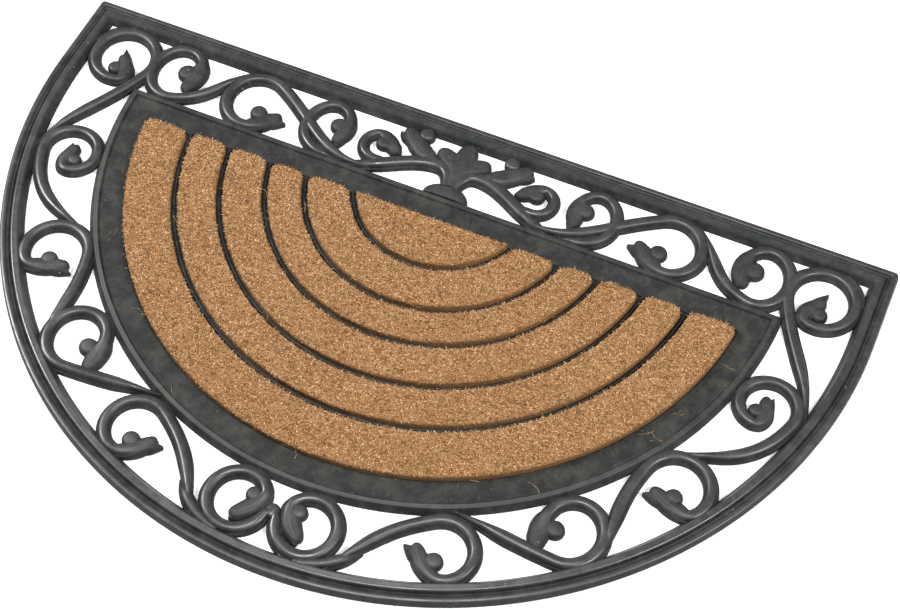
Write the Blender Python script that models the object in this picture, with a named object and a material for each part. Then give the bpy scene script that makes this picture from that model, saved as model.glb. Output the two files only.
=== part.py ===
"""A half-round doormat: one rubber moulding with an open scrollwork border, and six coir inlays.

The straight edge runs along X at the back (+Y), the round edge is at the front (-Y), and the mat lies
on z = 0 with the origin under the middle of its outline. Tables are in millimetres.
"""

import math
from collections import namedtuple

import bmesh
import bpy
from mathutils import Vector

MM = 0.001

# Driving sizes, in millimetres
WIDTH = 750
DEPTH = 450
RADIUS = WIDTH / 2
BACK = DEPTH / 2
ARC_Y = RADIUS - DEPTH / 2
TRAY_RADIUS = 300.5
TRAY_BACK = ARC_Y - 2
FRAME_WIDTH = 20.2
BAND_WIDTH = 28
CORNER_ROUND = 4
GAP = 0.3

# Heights above the ground, in millimetres
BAR_HEIGHT = 7.6
BALL_HEIGHT = 7.7
FLOOR = 2.2
BAND = 4.0
RIB_TOP = 5.6
COIR_TOP = 11.0
COIR_SHOULDER = 9.4

# A bar's root, its end and a leaf's end, as shares of the full bar
ROOT_SHARE = 0.6
RING_TAPER = 0.94
LEAF_END = 0.85

# Section of a bar: shares of its half width and of its height, from one foot over the crest to the other
BAR_PROFILE = ((-1, 0), (-0.86, 0.5), (-0.3, 1), (0.3, 1), (0.86, 0.5), (1, 0))
# Section of a round boss, from its foot to the flat top: shares of its radius and of its height
BOSS_PROFILE = ((1, 0), (0.94, 0.62), (0.5, 1))
# A blade's round end: shares of its end radius ahead of the last section, of its width and of its height
ROUND_END = ((0.6, 0.78, 0.95), (0.95, 0.34, 0.7))
# A leaf's point, from inside the blade outwards: shares of the way, of the end width and of the height
LEAF_POINT = ((0, 0.8, 0.8), (0.5, 0.75, 0.78), (0.85, 0.42, 0.68), (1, 0.15, 0.5))

# How finely the round stretches are divided
ARC_STEPS = 36
TURN_STEP = 23
ROOT_STEPS = 5
LEAF_STEPS = 4
DOME_STEPS = 9

Edge = namedtuple("Edge", "inset height")

FRAME_PROFILE = (
    Edge(0, 0),
    Edge(0.6, 5.0),
    Edge(1.6, 6.8),
    Edge(5.3, 7.0),
    Edge(6.4, 5.6),
    Edge(8.9, 5.1),
    Edge(9.9, 7.5),
    Edge(15.7, 8.0),
    Edge(FRAME_WIDTH - 0.6, 1.6),
    Edge(FRAME_WIDTH, 0),
)

TRAY_PROFILE = (
    Edge(0, 0),
    Edge(0.5, 1.4),
    Edge(4.0, 6.2),
    Edge(7.4, 6.3),
    Edge(8.8, BAND),
    Edge(BAND_WIDTH, BAND),
    Edge(BAND_WIDTH, FLOOR),
)

# A scroll grows from its root, runs into a ring and ends in a leaf with a ball beside it.
# The ring starts at an angle, turns by sweep degrees and tightens from first to last radius.
Scroll = namedtuple("Scroll", "x y squeeze start sweep first last root_x root_y root_turn bar")

SCROLLS = {
    "back_large": Scroll(192.5, 174.5, 1.0, 120, -215, 28.5, 26, 62, 155.5, -24, 6.7),
    "back_outer": Scroll(272, 178, 0.85, -105, 240, 29, 25.5, 210, 203, -45, 6.4),
    "corner": Scroll(324, 174.8, 1.02, 200, -305, 28, 27, 346, 56, 101, 6.5),
    "back_inner": Scroll(122.5, 177.8, 0.83, -60, 202, 26, 22, 104, 146.5, 2, 6.2),
    "back_curl": Scroll(73, 175.5, 1.0, -95, 165, 15, 14.5, 55, 163, -28, 5.8),
    "arc_first": Scroll(313.8, 63, 1.05, -20, 280, 24.6, 20, 252, -9, 15, 6.4),
    "arc_second": Scroll(273.5, -34, 1.0, 165, -215, 28.5, 26, 240, -116, 87, 6.5),
    "arc_third": Scroll(213, -99, 0.96, -95, 262, 29, 23, 126, -120, -5, 6.6),
    "arc_fourth": Scroll(131, -154.5, 1.0, 125, -205, 26.5, 23.5, 55, -205, 58, 6.4),
    "arc_middle": Scroll(29.5, -176.5, 0.98, 195, 310, 25, 24, 2.5, -173, -80, 6.5),
}

# The leaf at the end of each scroll: a blade with a round end, a point beside it and a ball at its heart
Leaf = namedtuple("Leaf", "bend_x bend_y end_x end_y width end tip_x tip_y ball_x ball_y ball")

LEAVES = {
    "back_large": Leaf(180, 155, 170, 165.5, 19, 7.2, 159, 163.5, 185.5, 165.5, 9),
    "back_outer": Leaf(253, 182, 257, 168, 20, 8, 256, 160, 264, 180.5, 10.2),
    "corner": Leaf(310.5, 158, 323.5, 171, 17, 6.2, 327, 182.5, 326, 160.5, 8),
    "back_inner": Leaf(106.5, 178, 110, 167.5, 18, 6.5, 108.5, 157.5, 115, 181, 9),
    "back_curl": Leaf(68, 184, 60.5, 177, 16, 7.5, 53, 173.5, 71, 179.5, 8.5),
    "arc_first": Leaf(318, 49, 312.5, 65.5, 16, 6, 317, 71, 307, 55.5, 7.2),
    "arc_second": Leaf(276, -52, 261.5, -44, 17, 7.2, 251, -48, 274, -42, 8.4),
    "arc_third": Leaf(190, -104, 192, -117, 19, 8.5, 188, -123, 201.5, -103.5, 9),
    "arc_fourth": Leaf(121, -172, 113.5, -160.5, 16.5, 6.8, 102.5, -160, 128.5, -164, 8.6),
    "arc_middle": Leaf(11, -174, 24, -186, 18, 8, 28, -194, 19, -168, 8),
}

# The palmette over the middle of the tray: petals with a bent axis and a round end, and round bosses.
# The last petal is the foot of the stem that runs along the frame beside the middle pair of rings.
Petal = namedtuple("Petal", "x y bend_x bend_y end_x end_y neck width end height")
Boss = namedtuple("Boss", "x y across deep height")

PETALS = {
    "petal_middle": Petal(0, 157, 0, 180, 0, 196, 5, 21, 11, 8.2),
    "petal_side": Petal(3, 170, 6, 183, 15.5, 188, 5, 16, 10, 7.4),
    "side_leaf": Petal(22, 177, 36, 182, 53, 197.5, 5, 19, 8, 7.6),
    "side_leaf_tip": Petal(50, 190, 55, 192, 60.5, 195, 5, 9, 2.5, 6.4),
    "stem_foot": Petal(76, -178, 62, -199, 36, -205.5, 2.5, 13, 5, 7.3),
}
BOSSES = {
    "base": Boss(0, 146.5, 20.5, 14, 7),
    "side_leaf_ball": Boss(40, 201.5, 7.2, 7.2, 7.4),
    "middle_nub": Boss(0, -175.5, 6.5, 7, 7.6),
}
# The base stands against the outer side of the tray's rim and is cut straight there
BASE_FRONT = 145.8
# The filling between the corner ring and the frame, an arc about the ring's middle
Web = namedtuple("Web", "reach first sweep bar height")
CORNER_WEB = Web(32, 10, 75, 4.5, 6.6)
Fountain = namedtuple("Fountain", "x y rise crest_x crest_y end_x end_y fall bar")
FOUNTAIN = Fountain(4.5, 157, 84, 19, 176, 92, 148, -8, 7.4)

# The inlays, from the middle outwards, between two radii about the middle of the round edge
Coir = namedtuple("Coir", "name inner outer steps")

COIR_CORE_RADIUS = 76
COIR_ARCS = (
    Coir("coir_arc_1", 81.0, 117.3, 20),
    Coir("coir_arc_2", 122.2, 151.0, 24),
    Coir("coir_arc_3", 155.8, 189.2, 28),
    Coir("coir_arc_4", 194.0, 226.8, 32),
    Coir("coir_arc_5", 231.8, TRAY_RADIUS - BAND_WIDTH - GAP, 36),
)
RIB_RADII = (78.5, 119.7, 153.4, 191.6, 229.4)
RIB_WIDTH = 1.6
RIB_SUNK = 1.0
RIB_STEPS = 9
RIB_STEP_RADIUS = 20

# The cut edges of the pile: the corners' radius, the rounded edge's width and drop, and its unevenness
COIR_CORNER = 8.0
COIR_EDGE = 1.8
COIR_EDGE_DROP = 0.5
COIR_WAVE = 0.35
COIR_CORE_CROWN = 16

RUBBER_COLOUR = (0.052, 0.056, 0.056, 1)
COIR_COLOUR = (0.50, 0.31, 0.14, 1)


def clear_scene():
    for old in list(bpy.data.objects):
        bpy.data.objects.remove(old, do_unlink=True)


def new_collection(name):
    collection = bpy.data.collections.new(name)
    bpy.context.scene.collection.children.link(collection)
    return collection


def new_material(name, colour, roughness):
    material = bpy.data.materials.new(name)
    material.use_nodes = True
    shader = material.node_tree.nodes["Principled BSDF"]
    shader.inputs["Base Color"].default_value = colour
    shader.inputs["Roughness"].default_value = roughness
    shader.inputs["Metallic"].default_value = 0
    return material


def to_object(name, mesh_data, collection):
    mesh = bpy.data.meshes.new(name)
    bmesh.ops.recalc_face_normals(mesh_data, faces=mesh_data.faces)
    mesh_data.to_mesh(mesh)
    mesh_data.free()
    made = bpy.data.objects.new(name, mesh)
    collection.objects.link(made)
    return made


def direction(degrees):
    return Vector((math.cos(math.radians(degrees)), math.sin(math.radians(degrees))))


def mix(low, high, share):
    return low + (high - low) * share


def loft(rings, closed_path=False):
    """Faces between rings of as many points each, in millimetres. An open row of rings gets end caps."""
    mesh_data = bmesh.new()
    rows = [[mesh_data.verts.new(Vector(p) * MM) for p in ring] for ring in rings]
    pairs = list(zip(rows, rows[1:]))
    if closed_path:
        pairs.append((rows[-1], rows[0]))
    for near, far in pairs:
        for k in range(len(near)):
            after = (k + 1) % len(near)
            mesh_data.faces.new((near[k], near[after], far[after], far[k]))
    if not closed_path:
        mesh_data.faces.new(rows[0])
        mesh_data.faces.new(rows[-1])
    return mesh_data


def half_round(radius, back, height, corner=0.0):
    """The outline of a half-round sheet: a straight back, a corner at each end and one long arc."""
    drop = min(back - ARC_Y, 0)
    first = math.degrees(math.asin(drop / radius))
    side = radius * math.cos(math.radians(first))
    points = []
    if back > ARC_Y:
        points += [(side - corner, back), (side - 0.3 * corner, back - 0.3 * corner), (side, back - corner)]
    else:
        points += [(side, back)]
    start = 0 if back > ARC_Y else 1
    for k in range(start, ARC_STEPS + 1 - start):
        turn = direction(mix(first, -180 - first, k / ARC_STEPS))
        points.append((radius * turn.x, ARC_Y + radius * turn.y))
    if back > ARC_Y:
        points += [(-side, back - corner), (0.3 * corner - side, back - 0.3 * corner), (corner - side, back)]
    else:
        points += [(-side, back)]
    return [(x, y, height) for x, y in points]


def frame(collection):
    rings = []
    for edge in FRAME_PROFILE:
        corner = max(CORNER_ROUND - edge.inset, 0.5)
        rings.append(half_round(RADIUS - edge.inset, BACK - edge.inset, edge.height, corner))
    return to_object("frame", loft(rings, closed_path=True), collection)


def tray(collection):
    rings = [half_round(TRAY_RADIUS - e.inset, TRAY_BACK - e.inset, e.height) for e in TRAY_PROFILE]
    return to_object("tray", loft(rings), collection)


def arc_bar(name, radius, width, bottom, top, back, steps, collection):
    """A bar of square section along an arc about the middle of the round edge, cut along the back."""
    rings = []
    for k in range(steps + 1):
        ring = []
        for offset, height in ((-0.5, bottom), (-0.5, top), (0.5, top), (0.5, bottom)):
            reach = radius + offset * width
            first = math.degrees(math.asin((back - ARC_Y) / reach))
            turn = direction(mix(first, -180 - first, k / steps))
            ring.append((reach * turn.x, ARC_Y + reach * turn.y, height))
        rings.append(ring)
    return to_object(name, loft(rings), collection)


def ring_point(row, share):
    turn = direction(row.start + row.sweep * share)
    reach = mix(row.first, row.last, share)
    return Vector((row.x + row.squeeze * reach * turn.x, row.y + reach * turn.y))


def ring_heading(row, share):
    step = 0.001
    return (ring_point(row, share + step) - ring_point(row, share - step)).normalized()


def bend(start, start_heading, end, end_heading, steps, reach=0.42):
    """Points on a smooth curve from start to end, without the last one."""
    span = (end - start).length * reach
    handles = (start, start + span * start_heading, end - span * end_heading, end)
    points = []
    for k in range(steps):
        t = k / steps
        weights = ((1 - t) ** 3, 3 * t * (1 - t) ** 2, 3 * t * t * (1 - t), t**3)
        points.append(sum((w * h for w, h in zip(weights, handles)), Vector((0, 0))))
    return points


def bow(start, middle, end, steps):
    """Points on the curve that leaves start towards middle and arrives at end, without the first one."""
    points = []
    for k in range(1, steps + 1):
        t = k / steps
        points.append((1 - t) ** 2 * start + 2 * t * (1 - t) * middle + t * t * end)
    return points


def swelling(share, neck, end, widest):
    """Half width of a blade that starts at its neck, swells in the middle and closes towards its end."""
    plain = mix(neck, end, share)
    return max(plain, mix(plain, widest, math.sin(math.pi * share) ** 0.8))


def bar_rings(points, half_widths, heights):
    """Sections of a bar with sloping sides and a narrow crest, square to the path."""
    rings = []
    for k, point in enumerate(points):
        along = (points[min(k + 1, len(points) - 1)] - points[max(k - 1, 0)]).normalized()
        across = Vector((-along.y, along.x))
        ring = []
        for side, rise in BAR_PROFILE:
            place = point + across * side * half_widths[k]
            ring.append((place.x, place.y, rise * heights[k]))
        rings.append(ring)
    return rings


def rounded_end(points, half_widths, heights, reach):
    """Two more sections that close a blade in a round end."""
    last = points[-1]
    along = (last - points[-2]).normalized()
    half, height = half_widths[-1], heights[-1]
    for ahead, narrow, low in ROUND_END:
        points.append(last + along * reach * ahead)
        half_widths.append(half * narrow)
        heights.append(height * low)


def scroll(name, collection):
    """One scroll as a single bar: a root that sinks into its neighbour, a ring and a leaf."""
    row = SCROLLS[name]
    leaf = LEAVES[name]
    root = Vector((row.root_x, row.root_y))
    points = bend(root, direction(row.root_turn), ring_point(row, 0), ring_heading(row, 0), ROOT_STEPS)
    turns = max(2, round(abs(row.sweep) / TURN_STEP))
    points += [ring_point(row, k / turns) for k in range(turns + 1)]
    grown = [min(1, mix(ROOT_SHARE, 1, 0.75 * k)) for k in range(len(points))]
    taper = [mix(1, RING_TAPER, k / (len(points) - 1)) for k in range(len(points))]
    bar = [row.bar * g * t for g, t in zip(grown, taper)]
    heights = [BAR_HEIGHT * g * t for g, t in zip(grown, taper)]
    end = Vector((leaf.end_x, leaf.end_y))
    points += bow(points[-1], Vector((leaf.bend_x, leaf.bend_y)), end, LEAF_STEPS)
    for k in range(1, LEAF_STEPS + 1):
        share = k / LEAF_STEPS
        bar.append(swelling(share, row.bar * RING_TAPER, leaf.end, leaf.width / 2))
        heights.append(BAR_HEIGHT * mix(RING_TAPER, LEAF_END, share))
    rounded_end(points, bar, heights, leaf.end)
    return to_object(name, loft(bar_rings(points, bar, heights)), collection)


def leaf_tip(name, collection):
    """The short point that stands out beside a leaf's round end."""
    row = SCROLLS[name]
    leaf = LEAVES[name]
    blade = bow(ring_point(row, 1), Vector((leaf.bend_x, leaf.bend_y)), Vector((leaf.end_x, leaf.end_y)), 4)
    tip = Vector((leaf.tip_x, leaf.tip_y))
    points = [mix(blade[2], tip, way) for way, narrow, low in LEAF_POINT]
    widths = [leaf.end * narrow for way, narrow, low in LEAF_POINT]
    heights = [BAR_HEIGHT * low for way, narrow, low in LEAF_POINT]
    return to_object(name + "_tip", loft(bar_rings(points, widths, heights)), collection)


def dome(name, row, collection, front=-BACK):
    """A low round cushion with a steep side, flat underneath. front cuts it straight along X."""
    rings = []
    for reach, rise in BOSS_PROFILE:
        ring = []
        for k in range(DOME_STEPS):
            turn = direction(360 * k / DOME_STEPS)
            x = row.x + row.across * reach * turn.x
            y = max(row.y + row.deep * reach * turn.y, front)
            ring.append((x, y, row.height * rise))
        rings.append(ring)
    return to_object(name, loft(rings), collection)


def petal(name, collection):
    row = PETALS[name]
    points = [Vector((row.x, row.y))]
    points += bow(points[0], Vector((row.bend_x, row.bend_y)), Vector((row.end_x, row.end_y)), LEAF_STEPS)
    shares = [k / LEAF_STEPS for k in range(LEAF_STEPS + 1)]
    widths = [swelling(share, row.neck, row.end, row.width / 2) for share in shares]
    heights = [row.height * mix(1, 0.92, share) for share in shares]
    rounded_end(points, widths, heights, row.end)
    return to_object(name, loft(bar_rings(points, widths, heights)), collection)


def fountain(collection):
    """The bar that rises from the palmette's base, arches over and runs down to the tray."""
    row = FOUNTAIN
    start = Vector((row.x, row.y))
    crest = Vector((row.crest_x, row.crest_y))
    end = Vector((row.end_x, row.end_y))
    points = bend(start, direction(row.rise), crest, direction(0), 4)
    points += bend(crest, direction(0), end, direction(row.fall), 6, 0.33) + [end]
    last = len(points) - 1
    falling = [min(1, mix(ROOT_SHARE, 1, (last - k) / 2)) for k in range(last + 1)]
    widths = [row.bar * min(mix(ROOT_SHARE, 1, k / 3), f) for k, f in enumerate(falling)]
    heights = [BAR_HEIGHT * min(mix(0.9, 1, k / 2), f) for k, f in enumerate(falling)]
    return to_object("fountain", loft(bar_rings(points, widths, heights)), collection)


def corner_web(collection):
    """A low bar outside the corner ring that closes most of the corner."""
    row = CORNER_WEB
    ring = SCROLLS["corner"]
    middle = Vector((ring.x, ring.y))
    points = [middle + row.reach * direction(row.first + row.sweep * k / 4) for k in range(5)]
    rings = bar_rings(points, [row.bar] * 5, [row.height] * 5)
    return to_object("corner_web", loft(rings), collection)


def mirrored(source, collection):
    mesh_data = bmesh.new()
    mesh_data.from_mesh(source.data)
    for vert in mesh_data.verts:
        vert.co.x = -vert.co.x
    bmesh.ops.reverse_faces(mesh_data, faces=mesh_data.faces)
    return to_object(source.name + "_left", mesh_data, collection)


def rubber_mat(collection, pieces, material):
    """Everything the mould forms, joined into one solid."""
    halves = [scroll(name, pieces) for name in SCROLLS]
    halves += [leaf_tip(name, pieces) for name in LEAVES]
    for name, leaf in LEAVES.items():
        heart = Boss(leaf.ball_x, leaf.ball_y, leaf.ball, leaf.ball, BALL_HEIGHT)
        halves.append(dome(name + "_ball", heart, pieces))
    halves += [petal(name, pieces) for name, row in PETALS.items() if row.x > 0]
    halves += [dome(name, row, pieces) for name, row in BOSSES.items() if row.x > 0]
    halves += [fountain(pieces), corner_web(pieces)]
    for half in halves:
        mirrored(half, pieces)
    for name, row in PETALS.items():
        if row.x == 0:
            petal(name, pieces)
    for name, row in BOSSES.items():
        if row.x == 0:
            dome(name, row, pieces, BASE_FRONT if name == "base" else -BACK)
    tray(pieces)
    rib_back = TRAY_BACK - BAND_WIDTH + RIB_SUNK
    for radius in RIB_RADII:
        steps = round(RIB_STEPS + radius / RIB_STEP_RADIUS)
        arc_bar("rib_%d" % radius, radius, RIB_WIDTH, FLOOR - RIB_SUNK, RIB_TOP, rib_back, steps, pieces)

    body = frame(collection)
    body.name = "rubber_mat"
    body.data.materials.append(material)
    joined = body.modifiers.new("one moulding", "BOOLEAN")
    joined.operation = "UNION"
    joined.operand_type = "COLLECTION"
    joined.collection = pieces
    joined.solver = "EXACT"
    joined.use_self = True
    return body


def unevenness(turn, row):
    """How far hand-trimmed pile stands out at a place along the arc, between -1 and 1."""
    return 0.6 * math.sin(11.3 * turn + 1.7 * row) + 0.4 * math.sin(23.9 * turn + 4.1 * row)


def coir_arc(row, collection, material):
    """A slab of pile along an arc, cut straight along the back, with rounded corners and edges."""
    back = TRAY_BACK - BAND_WIDTH - GAP
    bottom = FLOOR + GAP
    middle = (row.inner + row.outer) / 2
    corner = COIR_CORNER / (math.pi * middle)
    shares = [0, 0.3 * corner, corner] + [k / row.steps for k in range(1, row.steps)]
    shares += [1 - corner, 1 - 0.3 * corner, 1]
    pulls = [1, 0.3, 0] + [0] * (row.steps - 1) + [0, 0.3, 1]
    rings = []
    for share, pull in zip(shares, pulls):
        wave = COIR_WAVE * unevenness(math.pi * share, row.steps) * (1 - pull)
        inner = row.inner + COIR_CORNER * pull
        outer = row.outer - COIR_CORNER * pull
        lean = 0.1 + abs(wave)
        shoulder = COIR_SHOULDER - 2 * pull
        top = mix(COIR_TOP, COIR_SHOULDER - 1, pull)
        section = (
            (inner, bottom),
            (inner + lean, shoulder),
            (inner + COIR_EDGE, top - COIR_EDGE_DROP),
            (middle, top + COIR_WAVE * wave),
            (outer - COIR_EDGE, top - COIR_EDGE_DROP),
            (outer - lean, shoulder),
            (outer, bottom),
        )
        ring = []
        for reach, height in section:
            first = math.degrees(math.asin((back - ARC_Y) / reach))
            turn = direction(mix(first, -180 - first, share))
            ring.append((reach * turn.x, ARC_Y + reach * turn.y, height))
        rings.append(ring)
    made = to_object(row.name, loft(rings), collection)
    made.data.materials.append(material)
    return made


def coir_core(collection, material):
    """The slab in the middle: the lower part of a disc, cut straight along the back."""
    back = TRAY_BACK - BAND_WIDTH - GAP
    edges = (
        Edge(0, FLOOR + GAP),
        Edge(0.1, COIR_SHOULDER),
        Edge(COIR_EDGE, COIR_TOP - COIR_EDGE_DROP),
        Edge(COIR_CORE_CROWN, COIR_TOP),
    )
    rings = [half_round(COIR_CORE_RADIUS - e.inset, back - e.inset, e.height)[::2] for e in edges]
    made = to_object("coir_core", loft(rings), collection)
    made.data.materials.append(material)
    return made


def shade(made):
    made.data.shade_smooth()
    made.data.set_sharp_from_angle(angle=math.radians(32))


def main():
    clear_scene()
    mat = new_collection("half_round_doormat")
    pieces = new_collection("moulded_details")
    rubber = new_material("rubber", RUBBER_COLOUR, 0.5)
    coir = new_material("coir", COIR_COLOUR, 0.95)
    made = [rubber_mat(mat, pieces, rubber), coir_core(mat, coir)]
    made += [coir_arc(row, mat, coir) for row in COIR_ARCS]
    for helper in pieces.objects:
        helper.hide_render = True
        helper.display_type = "WIRE"
    for node in made:
        shade(node)


main()
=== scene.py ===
# %% [markdown]
# # A half-round doormat of moulded rubber and coir
#
# The mat lies flat on the floor. It is one rubber moulding (a ridged frame, a band of open scrollwork
# and a shallow tray) with six coir inlays pressed into the tray. The imported CAD model already has the
# true outline and the true place of every part. This lesson puts the finer forms and the finishes on it:
# the same curves are drawn again with many more sections, and the pile gets its fibres.
#
# The first step loads the imported model.

# %% Load the imported model
import math
import random
from collections import namedtuple

import bmesh
import bpy
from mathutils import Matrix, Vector, noise


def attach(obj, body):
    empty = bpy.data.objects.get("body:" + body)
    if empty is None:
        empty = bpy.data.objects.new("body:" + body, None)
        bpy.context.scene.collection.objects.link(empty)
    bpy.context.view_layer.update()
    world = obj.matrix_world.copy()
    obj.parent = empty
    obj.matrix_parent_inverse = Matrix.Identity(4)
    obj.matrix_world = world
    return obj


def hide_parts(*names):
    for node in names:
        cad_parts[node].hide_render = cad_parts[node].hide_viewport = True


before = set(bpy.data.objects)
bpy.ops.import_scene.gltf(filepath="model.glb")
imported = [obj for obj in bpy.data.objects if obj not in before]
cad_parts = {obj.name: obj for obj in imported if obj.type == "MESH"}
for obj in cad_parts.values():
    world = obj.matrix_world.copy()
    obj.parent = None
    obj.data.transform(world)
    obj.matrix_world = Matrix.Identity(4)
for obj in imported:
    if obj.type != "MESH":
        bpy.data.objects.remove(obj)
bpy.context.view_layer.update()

MM = 0.001
print("nodes:", sorted(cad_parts))

# %% [markdown]
# ## Camera
#
# The photograph looks down at the mat from the front, a little from the right, with the straight edge
# running away to the upper left. A camera at that place, with a slightly long lens, gives the same
# foreshortening: the far edge is drawn only a little smaller than the near one. Depth of field and
# shift stay off, so any other view can reuse this camera.

# %% The camera
CAMERA_PLACE = (0.3695, -0.6818, 1.2309)
CAMERA_TURN = (33.0701, 0.0, 23.7331)
CAMERA_LENS = 72.016


def link(made):
    """Puts an object into the scene."""
    bpy.context.scene.collection.objects.link(made)


lens = bpy.data.cameras.new("camera")
lens.lens = CAMERA_LENS
lens.sensor_width = 36
lens.clip_start = 0.05
lens.clip_end = 20
camera = bpy.data.objects.new("camera", lens)
camera.location = CAMERA_PLACE
camera.rotation_euler = [math.radians(a) for a in CAMERA_TURN]
link(camera)
bpy.context.scene.camera = camera
print("camera height above the floor: %.2f m" % CAMERA_PLACE[2])

# %% [markdown]
# ## Light and floor
#
# Dark rubber shows its form by what it mirrors. Two lights at the sides draw a thin bright line along
# each crest and leave flat ground dark, and a weaker one above keeps the coir from going flat. A pale
# room fills the shadows. Area lights and a plain world colour do this with no picture of a room, and
# the floor is a plain pale sheet.

# %% Lights, world and floor
Light = namedtuple("Light", "name place size power")
LIGHTS = (
    Light("overhead", (-0.1, -0.1, 1.9), 0.5, 23),
    Light("left", (-1.5, 0.1, 1.3), 0.4, 35),
    Light("right", (1.4, -0.2, 1.4), 0.4, 32),
)
WORLD_COLOUR = (0.97, 0.98, 1.0, 1)
WORLD_STRENGTH = 0.27
FLOOR_SIZE = 12
FLOOR_DROP = 0.0002
FLOOR_COLOUR = (0.86, 0.86, 0.86, 1)
FLOOR_ROUGH = 0.9
FLOOR_SHINE = 0.2


def area_light(row):
    data = bpy.data.lights.new(row.name, "AREA")
    data.shape = "DISK"
    data.size = row.size
    data.energy = row.power
    made = bpy.data.objects.new(row.name, data)
    made.location = row.place
    made.rotation_euler = (-Vector(row.place)).to_track_quat("-Z", "Y").to_euler()
    link(made)


def new_material(name):
    """A material, its tree and its Principled shader."""
    made = bpy.data.materials.new(name)
    made.use_nodes = True
    return made, made.node_tree, made.node_tree.nodes["Principled BSDF"]


def wire(tree, made, **links):
    """Sets a node's inputs: underscores stand for spaces, and a value may be another node's socket."""
    for key, value in links.items():
        socket = made.inputs[key.replace("_", " ")]
        if hasattr(value, "is_output"):
            tree.links.new(value, socket)
        else:
            socket.default_value = value
    return made


def node(tree, kind, settings=(), **links):
    """A new node. Its settings are pairs of a name and a value, and its links are as in wire."""
    made = tree.nodes.new(kind)
    for name, value in settings:
        setattr(made, name, value)
    return wire(tree, made, **links)


for row in LIGHTS:
    area_light(row)

world = bpy.data.worlds.new("room")
world.use_nodes = True
wire(world.node_tree, world.node_tree.nodes["Background"], Color=WORLD_COLOUR, Strength=WORLD_STRENGTH)
bpy.context.scene.world = world
bpy.context.scene.view_settings.view_transform = "Standard"

floor_material, floor_tree, floor_shader = new_material("pale floor")
wire(floor_tree, floor_shader, Base_Color=FLOOR_COLOUR, Roughness=FLOOR_ROUGH, Specular_IOR_Level=FLOOR_SHINE)
reach = FLOOR_SIZE / 2
corners = [(x * reach, y * reach, -FLOOR_DROP) for x, y in ((-1, -1), (1, -1), (1, 1), (-1, 1))]
floor_mesh = bpy.data.meshes.new("floor")
floor_mesh.from_pydata(corners, [], [(0, 1, 2, 3)])
floor_mesh.materials.append(floor_material)
floor = bpy.data.objects.new("floor", floor_mesh)
link(floor)
print("lights:", [row.name for row in LIGHTS])

# %% [markdown]
# ## The rubber's finish
#
# Moulded rubber with a lot of black in it is not one flat grey. The crests are worn and shinier and get a
# lighter colour, partly from rubbing and partly a painted highlight, while the low places stay matt and
# darker, a painted shade; pale scuffs cloud it all over, and dust sits on it in specks. All of that is read
# from Object coordinates,
# which are metres here: a texture scale of 1000 gives detail of about a millimetre. The worn look and the
# painted highlight follow the height above the floor, because every crest lies between 6 and 8 mm and the
# tray's flat band at 4 mm.

# %% The rubber material
# Low ground gets the darker colour, a painted shade; crests get the lighter one, partly wear and partly a
# painted highlight
RUBBER_LOW = (0.0135, 0.0142, 0.0130, 1)
RUBBER_HIGH = (0.023, 0.0255, 0.0275, 1)
RUBBER_SCUFFED = (0.044, 0.045, 0.040, 1)
RUBBER_DUST = (0.26, 0.25, 0.22, 1)
CREST_FROM = 0.0055
CREST_TO = 0.0071
ROUGH_LOW = 0.62
ROUGH_CREST = 0.23
ROUGH_SCUFFED = 0.12
SHINE_LOW = 0.22
SHINE_CREST = 0.72
SCUFF_MOST = 0.85
RUBBER_GRAIN = 0.00004

# A pattern is a noise texture: its scale for each metre, its detail and its roughness. Its values mostly
# stay within the span, and a narrower range of them is a cut that leaves patches
NOISE_SPAN = (0.3, 0.7)
SCUFF_CUT = (0.42, 0.66)
SPECK_CUT = (0.745, 0.79)
DUST_CUT = (0.45, 0.7)
Pattern = namedtuple("Pattern", "scale detail roughness")
CLOUDS = Pattern(22, 5.0, 0.6)
SCUFFS = Pattern(70, 8.0, 0.72)
GRAIN = Pattern(1400, 3.0, 0.6)
SPECKS = Pattern(420, 1.0, 0.4)
DUSTY = Pattern(9, 2.0, 0.5)


def apart(tree, vector):
    return node(tree, "ShaderNodeSeparateXYZ", Vector=vector).outputs


def noise_texture(tree, place, pattern):
    made = node(tree, "ShaderNodeTexNoise", Vector=place, Scale=pattern.scale, Detail=pattern.detail,
                Roughness=pattern.roughness)
    return made.outputs["Fac"]


def remap(tree, value, low, high, to_low, to_high):
    """A value carried from the range low to high over to another range, and held at its ends."""
    made = node(tree, "ShaderNodeMapRange", [("clamp", True)], Value=value, From_Min=low, From_Max=high,
                To_Min=to_low, To_Max=to_high)
    return made.outputs["Result"]


def mixed(tree, share, first, second):
    """A colour between two others. first and second are colours or sockets."""
    made = node(tree, "ShaderNodeMix", [("data_type", "RGBA")], Factor=share)
    colours = [s for s in made.inputs if s.type == "RGBA"]
    for socket, value in zip(colours, (first, second)):
        if isinstance(value, tuple):
            socket.default_value = value
        else:
            tree.links.new(value, socket)
    return [s for s in made.outputs if s.type == "RGBA"][0]


def joined_value(tree, operation, first, second):
    """One value from two, which are numbers or sockets."""
    made = node(tree, "ShaderNodeMath", [("operation", operation)])
    for socket, value in zip(made.inputs, (first, second)):
        if isinstance(value, (int, float)):
            socket.default_value = value
        else:
            tree.links.new(value, socket)
    return made.outputs["Value"]


def bumped(tree, shader, height, distance):
    """Relief on a shader. The distance is in metres."""
    made = node(tree, "ShaderNodeBump", Strength=1.0, Distance=distance, Height=height)
    tree.links.new(made.outputs["Normal"], shader.inputs["Normal"])


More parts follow.
